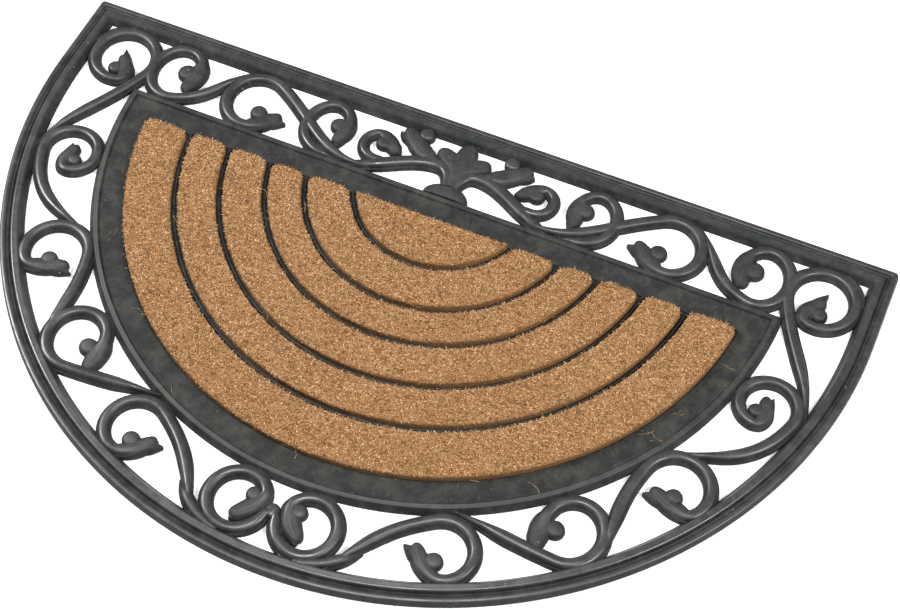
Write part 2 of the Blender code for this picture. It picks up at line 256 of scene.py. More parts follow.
def rubber_finish():
    made, tree, shader = new_material("moulded rubber")
    place = node(tree, "ShaderNodeTexCoord").outputs["Object"]
    # Painted highlight and shade: the crests' lighter colour is partly wear and partly a painted highlight,
    # the low ground's darker colour is painted shade; roughness and shine follow the same mask
    rubbed_and_highlit = remap(tree, apart(tree, place)["Z"], CREST_FROM, CREST_TO, 0.0, 1.0)
    cloudy = remap(tree, noise_texture(tree, place, CLOUDS), *NOISE_SPAN, 0.6, 1.0)
    wear_and_highlight = joined_value(tree, "MULTIPLY", rubbed_and_highlit, cloudy)
    colour = mixed(tree, wear_and_highlight, RUBBER_LOW, RUBBER_HIGH)
    scuffed = remap(tree, noise_texture(tree, place, SCUFFS), *SCUFF_CUT, 0.0, SCUFF_MOST)
    colour = mixed(tree, scuffed, colour, RUBBER_SCUFFED)
    specks = remap(tree, noise_texture(tree, place, SPECKS), *SPECK_CUT, 0.0, 1.0)
    dusty = remap(tree, noise_texture(tree, place, DUSTY), *DUST_CUT, 0.1, 0.8)
    colour = mixed(tree, joined_value(tree, "MULTIPLY", specks, dusty), colour, RUBBER_DUST)
    rough = remap(tree, wear_and_highlight, 0.0, 1.0, ROUGH_LOW, ROUGH_CREST)
    rough = joined_value(tree, "ADD", rough, joined_value(tree, "MULTIPLY", scuffed, ROUGH_SCUFFED))
    shine = remap(tree, wear_and_highlight, 0.0, 1.0, SHINE_LOW, SHINE_CREST)
    wire(tree, shader, Base_Color=colour, Roughness=rough, Specular_IOR_Level=shine)
    bumped(tree, shader, noise_texture(tree, place, GRAIN), RUBBER_GRAIN)
    return made


RUBBER = rubber_finish()
print("material:", RUBBER.name)

# %% [markdown]
# ## Lofts: one way to draw every rubber form
#
# The bars, leaves and petals are all swept forms: a section that runs along a line and changes its
# width, its height and its shape on the way. A loft in mesh code gives full control of all three, which
# a curve with a bevel doesn't, because that scales width and height together. Every loft is closed and
# flat on the floor, as the moulding is.

# %% Helpers for lofts
ARC_Y = 150
SAME_PLACE = 1e-7


def direction(degrees):
    """The way that an angle points, seen from above."""
    return Vector((math.cos(math.radians(degrees)), math.sin(math.radians(degrees))))


def mix(low, high, share):
    return low + (high - low) * share


def to_object(name, mesh_data, smooth_angle=30):
    """An object with clean faces that point outwards. Edges sharper than the angle, in degrees, show."""
    mesh = bpy.data.meshes.new(name)
    bmesh.ops.remove_doubles(mesh_data, verts=mesh_data.verts, dist=SAME_PLACE)
    bmesh.ops.recalc_face_normals(mesh_data, faces=mesh_data.faces)
    mesh_data.to_mesh(mesh)
    mesh_data.free()
    mesh.shade_smooth()
    mesh.set_sharp_from_angle(angle=math.radians(smooth_angle))
    return bpy.data.objects.new(name, mesh)


def loft(rings, closed_path=False, mesh_data=None):
    """Faces between rings of as many points each, in millimetres. An open row of rings gets end caps."""
    mesh_data = mesh_data or bmesh.new()
    rows = [[mesh_data.verts.new(Vector(p) * MM) for p in ring] for ring in rings]
    pairs = list(zip(rows, rows[1:]))
    if closed_path:
        pairs.append((rows[-1], rows[0]))
    for near, far in pairs:
        for k in range(len(near)):
            after = (k + 1) % len(near)
            mesh_data.faces.new((near[k], near[after], far[after], far[k]))
    if not closed_path:
        mesh_data.faces.new(rows[0])
        mesh_data.faces.new(rows[-1])
    return mesh_data


def triangles(made):
    return sum(len(p.vertices) - 2 for p in made.data.polygons)


print("arcs turn about y = %d mm" % ARC_Y)

# %% [markdown]
# ## The frame
#
# The frame is a moulded strip: a low outer ridge, two fine grooves with a bead between them, and a
# higher inner ridge with a sloping inner side. It turns the two square corners with a mitre, as picture
# framing does. Drawing the half-round outline again and again, each time further in and at another
# height, gives both the section and the mitres in one go. One table holds the section, from the outer
# foot to the inner one.

# %% The frame
Edge = namedtuple("Edge", "inset height")
WIDTH = 750
DEPTH = 450
RADIUS = WIDTH / 2
BACK = DEPTH / 2
CORNER_ROUND = 4
CORNER_LEAST = 0.4
CORNER_STEPS = 6
ARC_STEPS = 200


def edges(*pairs):
    """A table of places across a profile: how far in from the outline, and how high."""
    return [Edge(*pair) for pair in pairs]


FRAME_PROFILE = edges(
    (0, 0), (0.15, 2.4), (0.45, 4.6), (0.85, 5.9), (1.3, 6.6), (2.0, 6.95),
    (3.4, 7.05), (4.6, 7.05), (5.2, 6.85), (5.7, 6.2), (6.1, 5.6), (6.6, 5.5),
    (7.0, 5.9), (7.5, 6.3), (8.0, 6.1), (8.4, 5.4), (8.9, 5.0), (9.3, 5.6),
    (9.6, 6.7), (10.0, 7.4), (10.7, 7.8), (11.8, 7.85), (13.6, 7.8), (14.9, 7.95),
    (15.6, 7.9), (16.2, 7.3), (17.0, 5.9), (18.3, 3.4), (19.5, 1.4), (20.2, 0),
)


def half_round(radius, back, height, corner=0.0):
    """The outline of a half-round sheet: a straight back, a corner at each end and one long arc."""
    first = math.degrees(math.asin(min(back - ARC_Y, 0) / radius))
    side = radius * math.cos(math.radians(first))
    has_sides = back > ARC_Y
    right = []
    if has_sides:
        for k in range(CORNER_STEPS + 1):
            turn = direction(90 - 90 * k / CORNER_STEPS)
            right.append((side - corner + corner * turn.x, back - corner + corner * turn.y))
    else:
        right.append((side, back))
    points = list(right)
    steps = range(ARC_STEPS + 1) if has_sides else range(1, ARC_STEPS)
    for k in steps:
        turn = direction(mix(first, -180 - first, k / ARC_STEPS))
        points.append((radius * turn.x, ARC_Y + radius * turn.y))
    points += [(-x, y) for x, y in reversed(right)]
    return [(x, y, height) for x, y in points]


def frame_strip():
    rings = []
    for edge in FRAME_PROFILE:
        corner = max(CORNER_ROUND - edge.inset, CORNER_LEAST)
        rings.append(half_round(RADIUS - edge.inset, BACK - edge.inset, edge.height, corner))
    return to_object("frame", loft(rings, closed_path=True))


frame_piece = frame_strip()
print("frame:", triangles(frame_piece), "triangles")

# %% [markdown]
# ## The tray
#
# The tray carries the coir. It has a raised rim with a sloping outer side, a flat band that shows all
# round the coir, and a floor a little lower, where the inlays are glued in. The same nested outlines
# make it, now closed by one face above and one below.

# %% The tray
TRAY_RADIUS = 300.5
TRAY_BACK = ARC_Y - 2
BAND_WIDTH = 28
FLOOR = 2.2

TRAY_PROFILE = edges(
    (0, 0), (0.2, 0.9), (0.6, 1.7), (2.2, 4.0), (3.3, 5.5), (3.8, 6.0),
    (4.5, 6.2), (5.8, 6.15), (6.5, 6.3), (7.1, 6.4), (7.6, 6.2), (8.0, 5.6),
    (8.4, 4.8), (8.9, 4.25), (9.8, 4.05), (18.0, 3.95), (26.9, 4.0), (27.6, 3.85),
    (BAND_WIDTH, 3.4), (BAND_WIDTH, FLOOR),
)


def tray():
    rings = [half_round(TRAY_RADIUS - e.inset, TRAY_BACK - e.inset, e.height) for e in TRAY_PROFILE]
    return to_object("tray", loft(rings))


tray_piece = tray()
print("tray:", triangles(tray_piece), "triangles")

# %% [markdown]
# ## The ribs between the inlays
#
# Five thin ribs stand on the tray's floor and keep the inlays apart. They are alike but for their
# radius, so one Geometry Nodes tree makes them: an arc, a small rounded section swept along it, and two
# inputs that change from rib to rib. The modifier's inputs are set by their identifiers before the
# object is first evaluated, and the result becomes a plain mesh.

# %% The ribs, by Geometry Nodes
RIB_RADII = (78.5, 119.7, 153.4, 191.6, 229.4)
RIB_WIDTH = 1.6
RIB_TOP = 5.6
RIB_SUNK = 1.0
RIB_EDGE = 0.5
RIB_STEPS = 120
RIB_BACK = TRAY_BACK - BAND_WIDTH + RIB_SUNK


def new_tree(name, **inputs):
    """An empty tree with a geometry output and named inputs, each with its kind of socket."""
    tree = bpy.data.node_groups.new(name, "GeometryNodeTree")
    sockets = [(label.replace("_", " "), "INPUT", kind) for label, kind in inputs.items()]
    for label, way, kind in sockets + [("Geometry", "OUTPUT", "Geometry")]:
        tree.interface.new_socket(name=label, in_out=way, socket_type="NodeSocket" + kind)
    return tree, node(tree, "NodeGroupInput").outputs, node(tree, "NodeGroupOutput").inputs


def finish_tree(tree, geometry, material, result):
    """Instances made real, then a material: the end of every tree here."""
    real = node(tree, "GeometryNodeRealizeInstances", Geometry=geometry)
    smooth = node(tree, "GeometryNodeSetShadeSmooth", Geometry=real.outputs["Geometry"])
    skin = node(tree, "GeometryNodeSetMaterial", Geometry=smooth.outputs["Geometry"],
                Material=material)
    tree.links.new(skin.outputs["Geometry"], result["Geometry"])


def rib_tree():
    tree, given, result = new_tree("tray rib", Radius="Float", Half_Turn="Float", Material="Material")
    arc = node(tree, "GeometryNodeCurveArc", [("mode", "RADIUS")],
               Resolution=RIB_STEPS, Radius=given["Radius"],
               Start_Angle=joined_value(tree, "SUBTRACT", -math.pi / 2, given["Half Turn"]),
               Sweep_Angle=joined_value(tree, "MULTIPLY", given["Half Turn"], 2))
    height = (RIB_TOP - FLOOR + RIB_SUNK) * MM
    section = node(tree, "GeometryNodeCurvePrimitiveQuadrilateral",
                   Width=RIB_WIDTH * MM, Height=height)
    rounded = node(tree, "GeometryNodeFilletCurve", [("mode", "POLY")],
                   Curve=section.outputs["Curve"], Count=3, Radius=RIB_EDGE * MM, Limit_Radius=True)
    swept = node(tree, "GeometryNodeCurveToMesh", Curve=arc.outputs["Curve"],
                 Profile_Curve=rounded.outputs["Curve"], Fill_Caps=True)
    moved = node(tree, "GeometryNodeTransform", Geometry=swept.outputs["Mesh"],
                 Translation=(0, ARC_Y * MM, (FLOOR - RIB_SUNK) * MM + height / 2))
    finish_tree(tree, moved.outputs["Geometry"], given["Material"], result)
    return tree


def grown(name, tree, source=None, **values):
    """The plain mesh object that a tree makes, on a source mesh or on nothing."""
    mesh = source.data.copy() if source else bpy.data.meshes.new(name)
    base = bpy.data.objects.new(name, mesh)
    link(base)
    maker = base.modifiers.new(tree.name, "NODES")
    maker.node_group = tree
    sockets = {s.name: s.identifier for s in tree.interface.items_tree if s.in_out == "INPUT"}
    for label, value in values.items():
        maker[sockets[label.replace("_", " ")]] = value
    seen = base.evaluated_get(bpy.context.evaluated_depsgraph_get())
    plain = bpy.data.meshes.new_from_object(seen)
    bpy.data.objects.remove(base)
    plain.name = name
    return bpy.data.objects.new(name, plain)


rib_maker = rib_tree()
ribs = []
for radius in RIB_RADII:
    half_turn = math.pi / 2 - math.asin((ARC_Y - RIB_BACK) / radius)
    ribs.append(grown("rib_%d" % radius, rib_maker, Radius=radius * MM, Half_Turn=half_turn, Material=RUBBER))
print("ribs:", [triangles(rib) for rib in ribs])

# %% [markdown]
# ## The scrolls
#
# Wrought iron scrollwork is the model for this border: a bar leaves its neighbour, curls into a ring
# and ends in a leaf with a bud at its heart. Each scroll is one row of a table: the ring's centre, how
# far it is squeezed, its start, its turn and its two radii, then where the bar comes from. A smooth
# curve joins the root to the ring. The section is a round bead on two sloping shoulders, and on its
# way into the leaf it changes to two soft lobes with a midrib.

# %% The tables of scrolls and leaves
Scroll = namedtuple("Scroll", "x y squeeze start sweep first last root_x root_y root_turn bar")
SCROLLS = {
    "back_large": Scroll(192.5, 174.5, 1.0, 120, -215, 28.5, 26, 62, 155.5, -24, 6.7),
    "back_outer": Scroll(272, 178, 0.85, -105, 240, 29, 25.5, 210, 203, -45, 6.4),
    "corner": Scroll(324, 174.8, 1.02, 200, -305, 28, 27, 346, 56, 101, 6.5),
    "back_inner": Scroll(122.5, 177.8, 0.83, -60, 202, 26, 22, 104, 146.5, 2, 6.2),
    "back_curl": Scroll(73, 175.5, 1.0, -95, 165, 15, 14.5, 55, 163, -28, 5.8),
    "arc_first": Scroll(313.8, 63, 1.05, -20, 280, 24.6, 20, 252, -9, 15, 6.4),
    "arc_second": Scroll(273.5, -34, 1.0, 165, -215, 28.5, 26, 240, -116, 87, 6.5),
    "arc_third": Scroll(213, -99, 0.96, -95, 262, 29, 23, 126, -120, -5, 6.6),
    "arc_fourth": Scroll(131, -154.5, 1.0, 125, -205, 26.5, 23.5, 55, -205, 58, 6.4),
    "arc_middle": Scroll(29.5, -176.5, 0.98, 195, 310, 25, 24, 2.5, -173, -80, 6.5),
}

Leaf = namedtuple("Leaf", "bend_x bend_y end_x end_y width end tip_x tip_y ball_x ball_y ball")
LEAVES = {
    "back_large": Leaf(180, 155, 170, 165.5, 19, 7.2, 159, 163.5, 185.5, 165.5, 9),
    "back_outer": Leaf(253, 182, 257, 168, 20, 8, 256, 160, 264, 180.5, 10.2),
    "corner": Leaf(310.5, 158, 323.5, 171, 17, 6.2, 327, 182.5, 326, 160.5, 8),
    "back_inner": Leaf(106.5, 178, 110, 167.5, 18, 6.5, 108.5, 157.5, 115, 181, 9),
    "back_curl": Leaf(68, 184, 60.5, 177, 16, 7.5, 53, 173.5, 71, 179.5, 8.5),
    "arc_first": Leaf(318, 49, 312.5, 65.5, 16, 6, 317, 71, 307, 55.5, 7.2),
    "arc_second": Leaf(276, -52, 261.5, -44, 17, 7.2, 251, -48, 274, -42, 8.4),
    "arc_third": Leaf(190, -104, 192, -117, 19, 8.5, 188, -123, 201.5, -103.5, 9),
    "arc_fourth": Leaf(121, -172, 113.5, -160.5, 16.5, 6.8, 102.5, -160, 128.5, -164, 8.6),
    "arc_middle": Leaf(11, -174, 24, -186, 18, 8, 28, -194, 19, -168, 8),
}

BAR_HEIGHT = 7.6
BALL_HEIGHT = 6.6
BALL_SHARE = 0.87
BLADE_END = 0.95
ROOT_SHARE = 0.6
ROOT_WIDTH = 0.3
RING_TAPER = 0.94
LEAF_END = 0.85
ROOT_GROWTH = 1.5
SECTION_STEP = 2.2
INNER_ROOM = 0.9
BLADE_STEPS = 14
TIP_STEPS = 12
TIP_ALONG = 0.4
END_ANGLES = (20, 38, 54, 68, 80, 87)
END_REACH = 0.95
END_WIDTH = 0.06
END_HEIGHT = 0.62
JOINT_BEFORE = 5
JOINT_AFTER = 6

# Half of a section, from the foot to the crest: shares of the half width and of the height
BAR_HALF = ((1, 0), (0.985, 0.20), (0.95, 0.37), (0.89, 0.47), (0.82, 0.505), (0.76, 0.50),
            (0.71, 0.57), (0.63, 0.75), (0.50, 0.88), (0.34, 0.955), (0.16, 0.99), (0, 1))
LEAF_HALF = ((1, 0), (0.985, 0.27), (0.95, 0.47), (0.89, 0.62), (0.80, 0.745), (0.69, 0.835),
             (0.57, 0.895), (0.45, 0.93), (0.33, 0.945), (0.21, 0.945), (0.10, 0.955), (0, 0.985))
print(len(SCROLLS), "scrolls on each side")

# %% Paths, sections and blades


def bend(start, start_heading, end, end_heading, steps, reach=0.42):
    """Points on a smooth curve from start to end, without the last one."""
    span = (end - start).length * reach
    handles = (start, start + span * start_heading, end - span * end_heading, end)
    points = []
    for k in range(steps):
        t = k / steps
        weights = ((1 - t) ** 3, 3 * t * (1 - t) ** 2, 3 * t * t * (1 - t), t**3)
        points.append(sum((w * h for w, h in zip(weights, handles)), Vector((0, 0))))
    return points


def bow(start, middle, end, steps):
    """Points on the curve that leaves start towards middle and arrives at end, without the first one."""
    shares = [k / steps for k in range(1, steps + 1)]
    return [(1 - t) ** 2 * start + 2 * t * (1 - t) * middle + t * t * end for t in shares]


def spot(row, name=""):
    """A place in a table's row, from the columns that end in x and y."""
    return Vector((getattr(row, name + "x"), getattr(row, name + "y")))


def ring_point(row, share):
    turn = direction(row.start + row.sweep * share)
    reach = mix(row.first, row.last, share)
    return Vector((row.x + row.squeeze * reach * turn.x, row.y + reach * turn.y))


def ring_heading(row, share):
    step = 0.001
    return (ring_point(row, share + step) - ring_point(row, share - step)).normalized()


def section_half(leafy):
    """Half a section, between a bar's and a leaf's."""
    return [(mix(b[0], l[0], leafy), mix(b[1], l[1], leafy)) for b, l in zip(BAR_HALF, LEAF_HALF)]


def turning(points, k):
    """The signed curvature of a path at a point, to the left."""
    before, here, after = points[max(k - 1, 0)], points[k], points[min(k + 1, len(points) - 1)]
    first, second = here - before, after - here
    if first.length < 1e-6 or second.length < 1e-6:
        return 0.0
    cross = first.x * second.y - first.y * second.x
    return 2 * cross / (first.length * second.length * (first.length + second.length))


def side_widths(points, half_widths, side):
    """Half widths on one side. On the inside of a bend they stop short of its centre, and change smoothly."""
    widths = []
    for k, half_width in enumerate(half_widths):
        curve = turning(points, k) * side
        widths.append(min(half_width, INNER_ROOM / curve) if curve > 1e-4 else half_width)
    for _ in range(8):
        padded = [widths[0]] + widths + [widths[-1]]
        widths = [min(w, (padded[k] + w + padded[k + 2]) / 3) for k, w in enumerate(widths)]
    return widths


def bar_rings(points, half_widths, heights, leafiness):
    """Sections square to the path, each with its half width, its height and how leafy it is."""
    lefts = side_widths(points, half_widths, 1)
    rights = side_widths(points, half_widths, -1)
    rings = []
    for k, point in enumerate(points):
        along = (points[min(k + 1, len(points) - 1)] - points[max(k - 1, 0)]).normalized()
        left = Vector((-along.y, along.x))
        half = section_half(leafiness[k])
        section = [(-share * rights[k], rise) for share, rise in half]
        section += [(share * lefts[k], rise) for share, rise in reversed(half[:-1])]
        ring = []
        for side, rise in section:
            place = point + left * side
            ring.append((place.x, place.y, rise * heights[k]))
        rings.append(ring)
    return rings


def swelling(share, neck, end, widest):
    """Half width of a blade that starts at its neck, swells in the middle and closes towards its end."""
    plain = mix(neck, end, share)
    return max(plain, mix(plain, widest, math.sin(math.pi * share) ** 0.8))


def rounded_end(points, half_widths, heights, leafiness, reach):
    """More sections that close a blade in a round end."""
    last = points[-1]
    along = (last - points[-2]).normalized()
    half_width, height = half_widths[-1], heights[-1]
    for angle in END_ANGLES:
        sine, cosine = math.sin(math.radians(angle)), math.cos(math.radians(angle))
        points.append(last + along * reach * END_REACH * sine)
        half_widths.append(half_width * mix(END_WIDTH, 1, cosine))
        heights.append(height * mix(END_HEIGHT, 1, cosine**0.7))
        leafiness.append(leafiness[-1])


def eased(points, first, last, passes=8):
    """The points, with those from first to last moved towards their neighbours."""
    for _ in range(passes):
        points = [(points[k - 1] + 2 * p + points[k + 1]) / 4 if first <= k <= last else p
                  for k, p in enumerate(points)]
    return points


def scroll(name):
    """One scroll as a single bar: a root that sinks into its neighbour, a ring and a leaf."""
    row = SCROLLS[name]
    leaf = LEAVES[name]
    root = spot(row, "root_")
    gap = (ring_point(row, 0) - root).length
    root_steps = max(4, round(gap / SECTION_STEP))
    points = bend(root, direction(row.root_turn), ring_point(row, 0), ring_heading(row, 0), root_steps)
    turn_steps = max(4, round(math.radians(abs(row.sweep)) * row.first / SECTION_STEP))
    points += [ring_point(row, k / turn_steps) for k in range(turn_steps + 1)]
    count = len(points)
    growth = [min(1, ROOT_SHARE + ROOT_GROWTH * k / root_steps) for k in range(count)]
    broad = [min(1, ROOT_WIDTH + ROOT_GROWTH * k / root_steps) for k in range(count)]
    taper = [mix(1, RING_TAPER, k / (count - 1)) for k in range(count)]
    bar = [row.bar * b * t for b, t in zip(broad, taper)]
    heights = [BAR_HEIGHT * g * t for g, t in zip(growth, taper)]
    leafiness = [0.0] * count
    blade = bow(points[-1], spot(leaf, "bend_"), spot(leaf, "end_"), BLADE_STEPS)
    for k, point in enumerate(blade, start=1):
        share = k / len(blade)
        points.append(point)
        bar.append(swelling(share, row.bar * RING_TAPER, leaf.end * BLADE_END, leaf.width / 2))
        heights.append(BAR_HEIGHT * mix(RING_TAPER, LEAF_END, share))
        leafiness.append(min(1, 1.6 * share))
    points = eased(points, count - JOINT_BEFORE, count + JOINT_AFTER)
    rounded_end(points, bar, heights, leafiness, leaf.end * BLADE_END)
    return to_object(name, loft(bar_rings(points, bar, heights, leafiness)))


def leaf_tip(name):
    """The short point that stands out beside a leaf's round end."""
    row = SCROLLS[name]
    leaf = LEAVES[name]
    blade = bow(ring_point(row, 1), spot(leaf, "bend_"), spot(leaf, "end_"), 4)
    points, widths, heights = [], [], []
    for k in range(TIP_STEPS + 1):
        way = k / TIP_STEPS
        points.append(mix(blade[2], spot(leaf, "tip_"), way))
        narrowed = (max(0, way - TIP_ALONG) / (1 - TIP_ALONG)) ** 1.1
        widths.append(leaf.end * mix(0.98, 0.15, narrowed))
        heights.append(BAR_HEIGHT * mix(0.84, 0.6, way**2))
    return to_object(name + "_tip", loft(bar_rings(points, widths, heights, [0.7] * len(points))))


Boss = namedtuple("Boss", "x y across deep height")
DOME_PROFILE = ((1, 0), (0.995, 0.34), (0.965, 0.56), (0.9, 0.74), (0.8, 0.86), (0.66, 0.935), (0.5, 0.97),
                (0.34, 0.988), (0.18, 0.997), (0.05, 1))
DOME_STEPS = 36


def dome(name, row, front=-BACK):
    """A low round cushion with a steep side, flat underneath. front cuts it straight along X."""
    rings = []
    for reach, rise in DOME_PROFILE:
        ring = []
        for k in range(DOME_STEPS):
            turn = direction(360 * k / DOME_STEPS)
            x = row.x + row.across * reach * turn.x
            y = max(row.y + row.deep * reach * turn.y, front)
            ring.append((x, y, row.height * rise))
        rings.append(ring)
    return to_object(name, loft(rings))


halves = [scroll(name) for name in SCROLLS] + [leaf_tip(name) for name in LEAVES]
for name, leaf in LEAVES.items():
    reach = leaf.ball * BALL_SHARE
    halves.append(dome(name + "_ball", Boss(leaf.ball_x, leaf.ball_y, reach, reach, BALL_HEIGHT)))
print("scrolls, points and buds:", sum(triangles(half) for half in halves), "triangles on one side")

# %% [markdown]
# ## The palmette over the middle
#
# Between the two halves stands a small plant: a rounded base on the tray's rim, two bars that arch
# away from it, three petals in the middle and a leaf with a bud on each side. The petals are short
# blades made the same way as the leaves, and the base and the buds are low domes.

# %% The palmette
Petal = namedtuple("Petal", "x y bend_x bend_y end_x end_y neck width end height")
PETALS = {
    "petal_middle": Petal(0, 157, 0, 180, 0, 196, 5, 21, 11, 8.2),
    "petal_side": Petal(3, 170, 6, 183, 15.5, 188, 5, 16, 10, 7.4),
    "side_leaf": Petal(22, 177, 36, 182, 53, 197.5, 5, 19, 8, 7.6),
    "side_leaf_tip": Petal(50, 190, 55, 192, 60.5, 195, 5, 9, 2.5, 6.4),
    "stem_foot": Petal(76, -178, 62, -199, 36, -205.5, 2.5, 13, 5, 7.3),
}
BOSSES = {
    "base": Boss(0, 146.5, 20.5, 14, 7),
    "side_leaf_ball": Boss(40, 201.5, 7.2, 7.2, 7.4),
    "middle_nub": Boss(0, -175.5, 6.5, 7, 7.2),
}
BASE_FRONT = 145.3
BASE_ROLL = Boss(0.5, 147.6, 20.5, 2.6, 6.6)
Web = namedtuple("Web", "reach first sweep bar height")
CORNER_WEB = Web(32, 10, 75, 4.5, 6.6)
Fountain = namedtuple("Fountain", "x y rise crest_x crest_y end_x end_y fall bar")
FOUNTAIN = Fountain(4.5, 157, 84, 19, 176, 92, 148, -8, 7.4)
PLAIN_PETALS = ("stem_foot",)
PLAIN_SUNK = 0.5
RISE_STEPS = 12
FALL_STEPS = 30
WEB_STEPS = 20
WEB_FROM = 0.08


def petal(name):
    row = PETALS[name]
    start = spot(row)
    points = [start] + bow(start, spot(row, "bend_"), spot(row, "end_"), BLADE_STEPS)
    shares = [k / BLADE_STEPS for k in range(BLADE_STEPS + 1)]
    widths = [swelling(share, row.neck, row.end, row.width / 2) for share in shares]
    sunk = PLAIN_SUNK if name in PLAIN_PETALS else 1
    heights = [row.height * min(mix(1, 0.92, share), mix(sunk, 1, min(1, 3 * share))) for share in shares]
    leafiness = [0.0 if name in PLAIN_PETALS else min(1, 2 * share) for share in shares]
    rounded_end(points, widths, heights, leafiness, row.end)
    return to_object(name, loft(bar_rings(points, widths, heights, leafiness)))


def fountain():
    """The bar that rises from the palmette's base, arches over and runs down to the tray."""
    row = FOUNTAIN
    start = spot(row)
    crest = spot(row, "crest_")
    end = spot(row, "end_")
    points = bend(start, direction(row.rise), crest, direction(0), RISE_STEPS)
    points += bend(crest, direction(0), end, direction(row.fall), FALL_STEPS, 0.33) + [end]
    last = len(points) - 1
    rising = [min(1, mix(ROOT_SHARE, 1, k / 9)) for k in range(last + 1)]
    falling = [min(1, mix(ROOT_SHARE, 1, (last - k) / 10)) for k in range(last + 1)]
    widths = [row.bar * min(r, f) for r, f in zip(rising, falling)]
    heights = [BAR_HEIGHT * min(mix(0.9, 1, min(1, k / 6)), f) for k, f in enumerate(falling)]
    return to_object("fountain", loft(bar_rings(points, widths, heights, [0.0] * len(points))))


def corner_web():
    """A low bar outside the corner ring that closes most of the corner."""
    row = CORNER_WEB
    middle = spot(SCROLLS["corner"])
    steps = range(WEB_STEPS + 1)
    points = [middle + row.reach * direction(row.first + row.sweep * k / WEB_STEPS) for k in steps]
    rises = [math.sin(math.pi * (WEB_FROM + (1 - 2 * WEB_FROM) * k / WEB_STEPS)) ** 0.5 for k in steps]
    widths = [row.bar * rise for rise in rises]
    heights = [row.height * mix(0.62, 0.9, rise) for rise in rises]
    return to_object("corner_web", loft(bar_rings(points, widths, heights, [1.0] * len(points))))


halves += [fountain(), corner_web()]
halves += [petal(name) for name, row in PETALS.items() if row.x > 0]
halves += [dome(name, row) for name, row in BOSSES.items() if row.x > 0]
middles = [petal(name) for name, row in PETALS.items() if row.x == 0]
for name, row in BOSSES.items():
    if row.x == 0:
        middles.append(dome(name, row, BASE_FRONT if name == "base" else -BACK))
middles.append(dome("base_roll", BASE_ROLL, BASE_FRONT))
print("pieces on one side:", len(halves), "in the middle:", len(middles))

# %% [markdown]
# ## One moulding
#
# The mould makes all of this in one pour, so the overlapping lofts are united by a Boolean and nothing
# is left inside. The manifold solver suits a job of many closed pieces: it is quick and leaves a closed
# mesh. The left half is the right half with its x turned round, and its faces turned back outwards.

# %% Unite the rubber
RUBBER_CREASE = 34


def mirrored(source):
    mesh_data = bmesh.new()
    mesh_data.from_mesh(source.data)
    for vert in mesh_data.verts:
        vert.co.x = -vert.co.x
    return to_object(source.name + "_left", mesh_data)


def united(name, first, others):
    """One closed mesh from overlapping closed pieces."""
    helpers = bpy.data.collections.new("helpers")
    for other in others:
        helpers.objects.link(other)
    bpy.context.scene.collection.children.link(helpers)
    link(first)
    joined = first.modifiers.new("union", "BOOLEAN")
    joined.operation = "UNION"
    joined.operand_type = "COLLECTION"
    joined.collection = helpers
    joined.solver = "MANIFOLD"
    seen = first.evaluated_get(bpy.context.evaluated_depsgraph_get())
    mesh = bpy.data.meshes.new_from_object(seen)
    for other in others:
        bpy.data.objects.remove(other)
    bpy.data.objects.remove(first)
    bpy.data.collections.remove(helpers)
    mesh.name = name
    mesh.materials.clear()
    mesh.shade_smooth()
    mesh.set_sharp_from_angle(angle=math.radians(RUBBER_CREASE))
    return bpy.data.objects.new(name, mesh)


others = [tray_piece] + ribs + halves + [mirrored(half) for half in halves] + middles
rubber = united("rubber_moulding", frame_piece, others)
rubber.data.materials.append(RUBBER)
link(rubber)
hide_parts("rubber_mat")
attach(rubber, "root")
print("rubber:", triangles(rubber), "triangles")

# %% [markdown]
# ## The coir's finish
#
# Coir is the husk fibre of the coconut. Each fibre has its own tone, from dark brown to straw, and the
# pile is darker deep down, where little light gets in. That shade is painted: on each fibre towards its root,
# low down in the pile and in small pits. So the fibres carry two attributes, a tone for the whole fibre and
# the way along it from root to tip, and the material mixes its colours from them. The slab below the fibres
# is the imported pile; its darker, mottled colour is painted shade for the depth of the pile between the
# fibres, with a strong grain.

# %% The coir materials
FIBRE_TONES = (
    (0.0, (0.17, 0.078, 0.028, 1)),
    (0.25, (0.52, 0.280, 0.114, 1)),
    (0.55, (0.92, 0.585, 0.295, 1)),
    (1.0, (0.97, 0.72, 0.45, 1)),
)
# The dark brown of painted shade in the pile and on its sides
PILE_SHADE_COLOUR = (0.15, 0.066, 0.022, 1)
# The slab's two browns: painted shade for the depth of the pile between the fibres, mottled by a grain
SLAB_DARK = (0.13, 0.058, 0.021, 1)
SLAB_LIGHT = (0.38, 0.205, 0.085, 1)
DEEP_FROM = 0.0040
DEEP_TO = 0.0092
ROOT_SPAN = (0.1, 0.5)
PIT_CUT = (0.46, 0.62)
STRAND_CUT = (0.35, 0.65)
PATCH_SHIFT = (-0.10, 0.10)
TUFT_SHIFT = (-0.52, 0.24)
ROOT_DARK = 0.85
PILE_DARK = 0.8
FIBRE_ROUGH = 0.62
FIBRE_SHINE = 0.35
SLAB_ROUGH = 0.85
SLAB_SHINE = 0.2
SLAB_GRAIN = 0.0006
PATCHES = Pattern(45, 3.0, 0.6)
TUFTS = Pattern(330, 2.0, 0.5)
PITS = Pattern(480, 2.0, 0.6)
STRANDS = Pattern(900, 4.0, 0.7)


def ramp(tree, value, stops):
    made = node(tree, "ShaderNodeValToRGB")
    while len(made.color_ramp.elements) < len(stops):
        made.color_ramp.elements.new(0.5)
    for element, (position, colour) in zip(made.color_ramp.elements, stops):
        element.position = position
        element.color = colour
    return wire(tree, made, Fac=value).outputs["Color"]


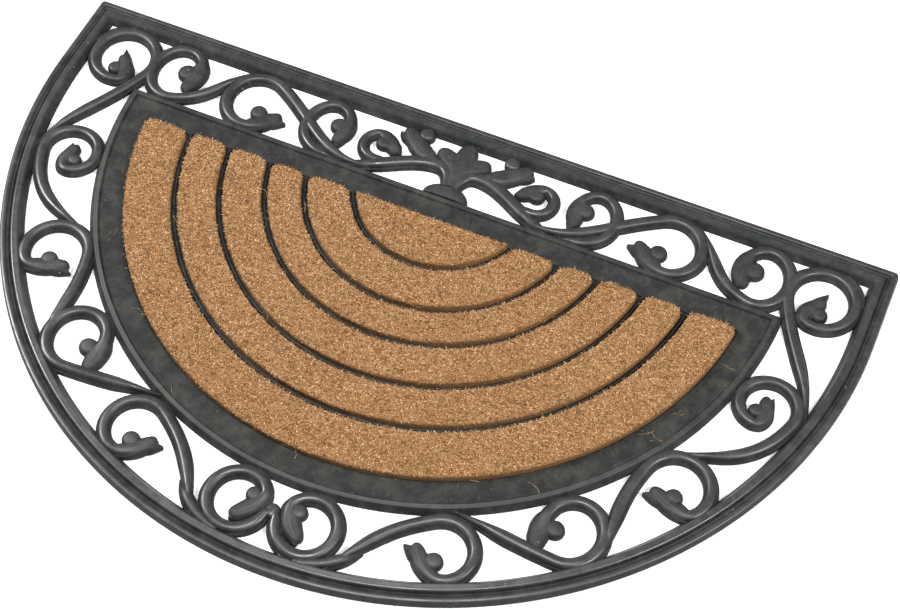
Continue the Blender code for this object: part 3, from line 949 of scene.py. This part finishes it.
def fibre_finish(name, deep_share, pit_share):
    """A fibre's finish. The shares say how much painted shade the fibres get low down in the pile, and in
    small pits.
    """
    made, tree, shader = new_material(name)
    place = node(tree, "ShaderNodeTexCoord").outputs["Object"]
    tone = node(tree, "ShaderNodeAttribute", [("attribute_name", "tone")]).outputs["Fac"]
    along = node(tree, "ShaderNodeAttribute", [("attribute_name", "along")]).outputs["Fac"]
    patches = remap(tree, noise_texture(tree, place, PATCHES), *NOISE_SPAN, *PATCH_SHIFT)
    tufts = remap(tree, noise_texture(tree, place, TUFTS), *NOISE_SPAN, *TUFT_SHIFT)
    shifted = joined_value(tree, "ADD", joined_value(tree, "ADD", tone, patches), tufts)
    colour = ramp(tree, shifted, FIBRE_TONES)
    # Painted shade: each fibre darkens towards its root, low down in the pile and in small noise pits,
    # towards a dark brown
    root_shade = remap(tree, along, *ROOT_SPAN, ROOT_DARK, 0.0)
    sunk = remap(tree, apart(tree, place)["Z"], DEEP_FROM, DEEP_TO, deep_share, 0.0)
    pit_shade = remap(tree, noise_texture(tree, place, PITS), *PIT_CUT, 0.0, pit_share)
    hidden = joined_value(tree, "MAXIMUM", joined_value(tree, "MAXIMUM", root_shade, sunk), pit_shade)
    colour = mixed(tree, hidden, colour, PILE_SHADE_COLOUR)
    wire(tree, shader, Base_Color=colour, Roughness=FIBRE_ROUGH, Specular_IOR_Level=FIBRE_SHINE)
    return made


def slab_shade_and_grain():
    made, tree, shader = new_material("packed coir in painted shade")
    # Painted shade: the slab is coloured as the shadowed depth of the pile, broken by a grain of strands
    place = node(tree, "ShaderNodeTexCoord").outputs["Object"]
    strands = noise_texture(tree, place, STRANDS)
    colour = mixed(tree, remap(tree, strands, *STRAND_CUT, 0.0, 1.0), SLAB_DARK, SLAB_LIGHT)
    wire(tree, shader, Base_Color=colour, Roughness=SLAB_ROUGH, Specular_IOR_Level=SLAB_SHINE)
    bumped(tree, shader, strands, SLAB_GRAIN)
    return made


FIBRE = fibre_finish("coir fibre", PILE_DARK, PILE_DARK)
LOOSE = fibre_finish("loose coir fibre", 0.0, 0.0)
SLAB = slab_shade_and_grain()
print("materials:", FIBRE.name, "and", SLAB.name)

# %% [markdown]
# ## The inlays
#
# Five inlays are arcs and the sixth is the lower part of a disc, all cut straight along the back with a
# blade. Each is drawn as a slab first: a loft along the arc, with rounded edges and corners. The pile
# gives way unevenly when it is cut, so a smooth noise moves the surface a few tenths of a millimetre.
# The noise gets a fixed seed first, because it would otherwise take one from the clock.

# %% The slabs
Coir = namedtuple("Coir", "name inner outer")
GAP = 0.3
COIR_CORE_RADIUS = 76
COIR_ARCS = (
    Coir("coir_arc_1", 81.0, 117.3),
    Coir("coir_arc_2", 122.2, 151.0),
    Coir("coir_arc_3", 155.8, 189.2),
    Coir("coir_arc_4", 194.0, 226.8),
    Coir("coir_arc_5", 231.8, TRAY_RADIUS - BAND_WIDTH - GAP),
)
COIR_BOTTOM = FLOOR + GAP
COIR_BACK = TRAY_BACK - BAND_WIDTH - GAP
SLAB_TOP = 9.7
SLAB_CORNER = 8.0
PILE_ROOM = 0.5
SLAB_EDGE = 2.0
SLAB_STEP = 3.0
NOISE_SEED = 7
SLAB_CREASE = 60
CORE_STEP = 3.2
Swell = namedtuple("Swell", "size amount")
SWELLS = (Swell(9, 0.35), Swell(3.4, 0.3))


def slab_section(inner, outer, top, count=9):
    """From one foot over the top to the other foot: places across the arc and heights."""
    section = [(inner, COIR_BOTTOM), (inner + 0.1, mix(COIR_BOTTOM, top, 0.45))]
    for angle in (0, 30, 60, 90):
        turn = direction(180 - angle)
        section.append((inner + SLAB_EDGE + SLAB_EDGE * turn.x, top - SLAB_EDGE + SLAB_EDGE * turn.y))
    for k in range(1, count):
        section.append((mix(inner + SLAB_EDGE, outer - SLAB_EDGE, k / count), top))
    for angle in (90, 60, 30, 0):
        turn = direction(angle)
        section.append((outer - SLAB_EDGE + SLAB_EDGE * turn.x, top - SLAB_EDGE + SLAB_EDGE * turn.y))
    section += [(outer - 0.1, mix(COIR_BOTTOM, top, 0.45)), (outer, COIR_BOTTOM)]
    return section


def roughened(point):
    """The point, moved by smooth noise unless it is on the foot."""
    if point[2] <= COIR_BOTTOM + 0.01:
        return point
    moved = Vector(point)
    for swell in SWELLS:
        moved = moved + Vector(noise.noise_vector(Vector(point) / swell.size)) * swell.amount
    return moved


def coir_arc(row):
    length = math.pi * (row.inner + row.outer) / 2
    steps = round(length / SLAB_STEP)
    corner = SLAB_CORNER / length
    shares = [corner * (1 - math.cos(math.radians(a))) for a in (0, 18, 36, 54, 72)]
    shares += [mix(corner, 1 - corner, k / steps) for k in range(steps + 1)]
    shares += [1 - s for s in reversed(shares[:5])]
    rings = []
    for share in shares:
        into = min(1, min(share, 1 - share) / corner)
        pull = SLAB_CORNER * (1 - math.sqrt(max(0, 1 - (1 - into) ** 2)))
        ring = []
        room = PILE_ROOM + pull
        for reach, height in slab_section(row.inner + room, row.outer - room, SLAB_TOP - 0.18 * pull):
            first = math.degrees(math.asin((COIR_BACK - ARC_Y) / reach))
            turn = direction(mix(first, -180 - first, share))
            ring.append(roughened((reach * turn.x, ARC_Y + reach * turn.y, height)))
        rings.append(ring)
    return to_object(row.name + "_slab", loft(rings), SLAB_CREASE)


def coir_core():
    """The middle inlay: nested outlines from its foot to its crown, then points that fill the top."""
    rings = []
    profile = edges((0, COIR_BOTTOM), (0.1, 6))
    for angle in (0, 30, 60, 90):
        turn = direction(angle)
        profile.append(Edge(SLAB_EDGE * (1 - turn.x), SLAB_TOP - SLAB_EDGE * (1 - turn.y)))
    profile += [Edge(SLAB_EDGE + CORE_STEP * k, SLAB_TOP) for k in range(1, 7)]
    for edge in profile:
        radius = COIR_CORE_RADIUS - PILE_ROOM - edge.inset
        outline = half_round(radius, COIR_BACK - edge.inset, edge.height)[::2]
        rings.append([roughened(p) for p in outline])
    return to_object("coir_core_slab", loft(rings), SLAB_CREASE)


noise.seed_set(NOISE_SEED)
slabs = {"coir_core": coir_core()}
for row in COIR_ARCS:
    slabs[row.name] = coir_arc(row)
for slab in slabs.values():
    slab.data.materials.append(SLAB)
print("slabs:", {name: triangles(slab) for name, slab in slabs.items()})

# %% [markdown]
# ## The pile
#
# The pile is tens of thousands of short cut fibres, each leaning its own way. That is a job for
# Geometry Nodes: points are strewn over the slab, a bent fibre is set on each, and a fixed seed gives
# the same pile on every run. Three kinds of fibre are enough, because each is also turned and scaled.
# A fibre has three sides and two stretches, ten triangles in all, since it is only a few tenths of a
# millimetre thick. The tone of each fibre is stored as an attribute before the instances become real.

# %% The tree that plants the fibres
Fibre = namedtuple("Fibre", "lean side")
FIBRE_KINDS = (Fibre(1.4, 0.5), Fibre(2.4, -0.9), Fibre(-0.7, 1.7))
FIBRE_LENGTH = 3.4
FIBRE_THICK = 0.34
FIBRE_ROOT = 0.5
FIBRE_FULLNESS = 1.5
FIBRE_BEND = 1.7
FIBRE_DENSITY = 600000
SIDE_SHARE = 0.5
SIDE_SIZE = 0.38
LEAN = 2.7
LIFT = 0.25
UPWARD = 0.8
OUTWARD = 0.1
UNDERSIDE = -0.5
SIDE_SPAN = (0.2, 0.7)
SIZE_SPAN = (0.2, 0.9)
LEAST_SIZE = (0.7, 0.7, 0.45)
MOST_SIZE = (1.25, 1.25, 1.0)
LEAN_SEED, SPIN_SEED, KIND_SEED, SIZE_SEED, TONE_SEED = range(11, 16)


def bent_fibre(tree, kind):
    """One fibre that rises along z and bends over, closed at both ends. A kind is in millimetres."""
    cone = node(tree, "GeometryNodeMeshCone", [("fill_type", "NGON")], Vertices=3, Side_Segments=2,
                Radius_Top=0.0, Radius_Bottom=FIBRE_THICK * MM, Depth=FIBRE_LENGTH * MM)
    place = apart(tree, node(tree, "GeometryNodeInputPosition").outputs["Position"])
    way = joined_value(tree, "DIVIDE", place["Z"], FIBRE_LENGTH * MM)
    kept = node(tree, "GeometryNodeStoreNamedAttribute", [("data_type", "FLOAT"), ("domain", "POINT")],
                Geometry=cone.outputs["Mesh"], Name="along", Value=way)
    over = joined_value(tree, "POWER", way, FIBRE_BEND)
    fuller = joined_value(tree, "MULTIPLY", way, FIBRE_FULLNESS)
    shift = node(tree, "ShaderNodeCombineXYZ", Z=-FIBRE_ROOT * MM)
    for axis, reach in (("X", kind.lean), ("Y", kind.side)):
        bent = joined_value(tree, "MULTIPLY", over, reach * MM)
        wide = joined_value(tree, "MULTIPLY", fuller, place[axis])
        tree.links.new(joined_value(tree, "ADD", bent, wide), shift.inputs[axis])
    bowed = node(tree, "GeometryNodeSetPosition", Geometry=kept.outputs["Geometry"],
                 Offset=shift.outputs["Vector"])
    single = node(tree, "GeometryNodeGeometryToInstance", Geometry=bowed.outputs["Geometry"])
    return single.outputs["Instances"]


def random_value(tree, kind, low, high, seed):
    made = node(tree, "FunctionNodeRandomValue", [("data_type", kind)])
    live = {s.name: s for s in made.inputs if s.enabled}
    for label, value in (("Min", low), ("Max", high), ("Seed", seed)):
        live[label].default_value = value
    return [s for s in made.outputs if s.enabled][0]


def scaled(tree, vector, scale):
    made = node(tree, "ShaderNodeVectorMath", [("operation", "SCALE")], Vector=vector, Scale=scale)
    return made.outputs["Vector"]


def added(tree, first, second):
    """The sum of two vectors. The second is a vector or a socket."""
    made = node(tree, "ShaderNodeVectorMath", [("operation", "ADD")], Vector=first)
    if isinstance(second, tuple):
        made.inputs[1].default_value = second
    else:
        tree.links.new(second, made.inputs[1])
    return made.outputs["Vector"]


def pile_tree():
    tree, given, result = new_tree("coir pile", Slab="Geometry", Density="Float", Seed="Int",
                                   Material="Material")
    rise = apart(tree, node(tree, "GeometryNodeInputNormal").outputs["Normal"])["Z"]
    planted = joined_value(tree, "MULTIPLY", remap(tree, rise, *SIDE_SPAN, SIDE_SHARE, 1.0),
                           joined_value(tree, "GREATER_THAN", rise, UNDERSIDE))
    spread = node(tree, "GeometryNodeDistributePointsOnFaces", [("distribute_method", "RANDOM")],
                  Mesh=given["Slab"], Density=joined_value(tree, "MULTIPLY", planted, given["Density"]),
                  Seed=given["Seed"])
    outward = spread.outputs["Normal"]
    lean = random_value(tree, "FLOAT_VECTOR", (-LEAN, -LEAN, 0.0), (LEAN, LEAN, LIFT), LEAN_SEED)
    way = added(tree, added(tree, lean, scaled(tree, outward, OUTWARD)), (0, 0, UPWARD))
    stand = node(tree, "FunctionNodeAlignRotationToVector", [("axis", "Z")], Vector=way)
    angle = random_value(tree, "FLOAT", 0.0, 2 * math.pi, SPIN_SEED)
    turned = node(tree, "FunctionNodeAxisAngleToRotation", Axis=(0, 0, 1), Angle=angle)
    spin = node(tree, "FunctionNodeRotateRotation", [("rotation_space", "LOCAL")],
                Rotation=stand.outputs["Rotation"], Rotate_By=turned.outputs["Rotation"])
    kinds = node(tree, "GeometryNodeJoinGeometry")
    for kind in FIBRE_KINDS:
        wire(tree, kinds, Geometry=bent_fibre(tree, kind))
    upright = apart(tree, outward)["Z"]
    size = scaled(tree, random_value(tree, "FLOAT_VECTOR", LEAST_SIZE, MOST_SIZE, SIZE_SEED),
                  remap(tree, upright, *SIZE_SPAN, SIDE_SIZE, 1.0))
    plant = node(tree, "GeometryNodeInstanceOnPoints", Pick_Instance=True,
                 Points=spread.outputs["Points"], Instance=kinds.outputs["Geometry"],
                 Instance_Index=random_value(tree, "INT", 0, len(FIBRE_KINDS) - 1, KIND_SEED),
                 Rotation=spin.outputs["Rotation"], Scale=size)
    toned = node(tree, "GeometryNodeStoreNamedAttribute", [("data_type", "FLOAT"), ("domain", "INSTANCE")],
                 Name="tone", Geometry=plant.outputs["Instances"],
                 Value=random_value(tree, "FLOAT", 0.0, 1.0, TONE_SEED))
    finish_tree(tree, toned.outputs["Geometry"], given["Material"], result)
    return tree


pile_maker = pile_tree()
print("fibre tree:", len(pile_maker.nodes), "nodes")

# %% Plant the fibres on each inlay
# The two largest inlays get two piles of half the density, so that no piece has over 200,000 triangles
HALVED = ("coir_arc_4", "coir_arc_5")
SECOND_SEED = 20
total = 0
for first_seed, (name, slab) in enumerate(slabs.items(), start=1):
    piles = []
    parts = ("_pile_a", "_pile_b") if name in HALVED else ("_pile",)
    for k, ending in enumerate(parts):
        density = FIBRE_DENSITY / len(parts)
        seed = first_seed + SECOND_SEED * k
        piles.append(grown(name + ending, pile_maker, slab, Density=density, Seed=seed, Material=FIBRE))
    for piece in [slab] + piles:
        link(piece)
        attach(piece, "root")
    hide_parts(name)
    total += sum(triangles(pile) for pile in piles)
    print(name, [triangles(pile) for pile in piles], "triangles")
print("the whole pile:", total, "triangles")

# %% [markdown]
# ## Loose fibres
#
# Cut coir sheds. A few long thin fibres lie on the rubber round the inlays, most of them along the
# outer edge, and some bridge a gap. Each is a thin curl with three sides, so it costs next to nothing.

# %% The loose fibres
Strewn = namedtuple("Strewn", "radius spread count height")
LOOSE_FIBRES = (
    Strewn(276, 5, 24, 4.4),
    Strewn(284, 6, 10, 4.4),
    Strewn(229.3, 2.5, 12, 8.2),
    Strewn(191.5, 2.5, 10, 8.2),
    Strewn(153.4, 2.5, 8, 8.2),
    Strewn(119.7, 2.5, 6, 8.2),
)
LOOSE_THICK = 0.1
LOOSE_STEPS = 9
LOOSE_LENGTH = (5, 16)
LOOSE_SEED = 4
LOOSE_TURNS = (-168, -12)
LOOSE_CURL = 16
LOOSE_LIFT = 0.5
LOOSE_PALEST = 0.7
LOOSE_END = 0.35
ALL_SMOOTH = 180


def loose_fibre(chance, row):
    """The middle line of one fibre: a slack curl that keeps to one height."""
    turn = chance.uniform(*LOOSE_TURNS)
    reach = row.radius + chance.uniform(-row.spread, row.spread)
    point = Vector((0, ARC_Y)) + reach * direction(turn)
    heading = chance.uniform(0, 360)
    curl = chance.uniform(-LOOSE_CURL, LOOSE_CURL)
    step = chance.uniform(*LOOSE_LENGTH) / LOOSE_STEPS
    line = []
    for k in range(LOOSE_STEPS + 1):
        lift = LOOSE_LIFT * math.sin(math.pi * k / LOOSE_STEPS)
        line.append(Vector((point.x, point.y, row.height + lift)))
        heading += curl
        point = point + step * direction(heading)
    return line


def fibre_rings(line):
    """Three points round each place on a fibre's middle line, closer together at its two ends."""
    rings = []
    for k, place in enumerate(line):
        ahead = (line[min(k + 1, LOOSE_STEPS)] - line[max(k - 1, 0)]).normalized()
        side = ahead.cross(Vector((0, 0, 1))).normalized()
        over = side.cross(ahead)
        thick = LOOSE_THICK * (LOOSE_END if k in (0, LOOSE_STEPS) else 1)
        turns = [direction(angle) for angle in (0, 120, 240)]
        rings.append([place + thick * (turn.x * side + turn.y * over) for turn in turns])
    return rings


def loose_fibres():
    chance = random.Random(LOOSE_SEED)
    mesh_data = bmesh.new()
    tones = []
    for row in LOOSE_FIBRES:
        for _ in range(row.count):
            rings = fibre_rings(loose_fibre(chance, row))
            loft(rings, mesh_data=mesh_data)
            tones += [chance.uniform(0.0, LOOSE_PALEST)] * (3 * len(rings))
    made = to_object("loose_fibres", mesh_data, ALL_SMOOTH)
    for label, values in (("tone", tones), ("along", [1.0] * len(tones))):
        made.data.attributes.new(label, "FLOAT", "POINT").data.foreach_set("value", values)
    made.data.materials.append(LOOSE)
    return made


strewn = loose_fibres()
link(strewn)
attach(strewn, "root")
print("loose fibres:", triangles(strewn), "triangles")
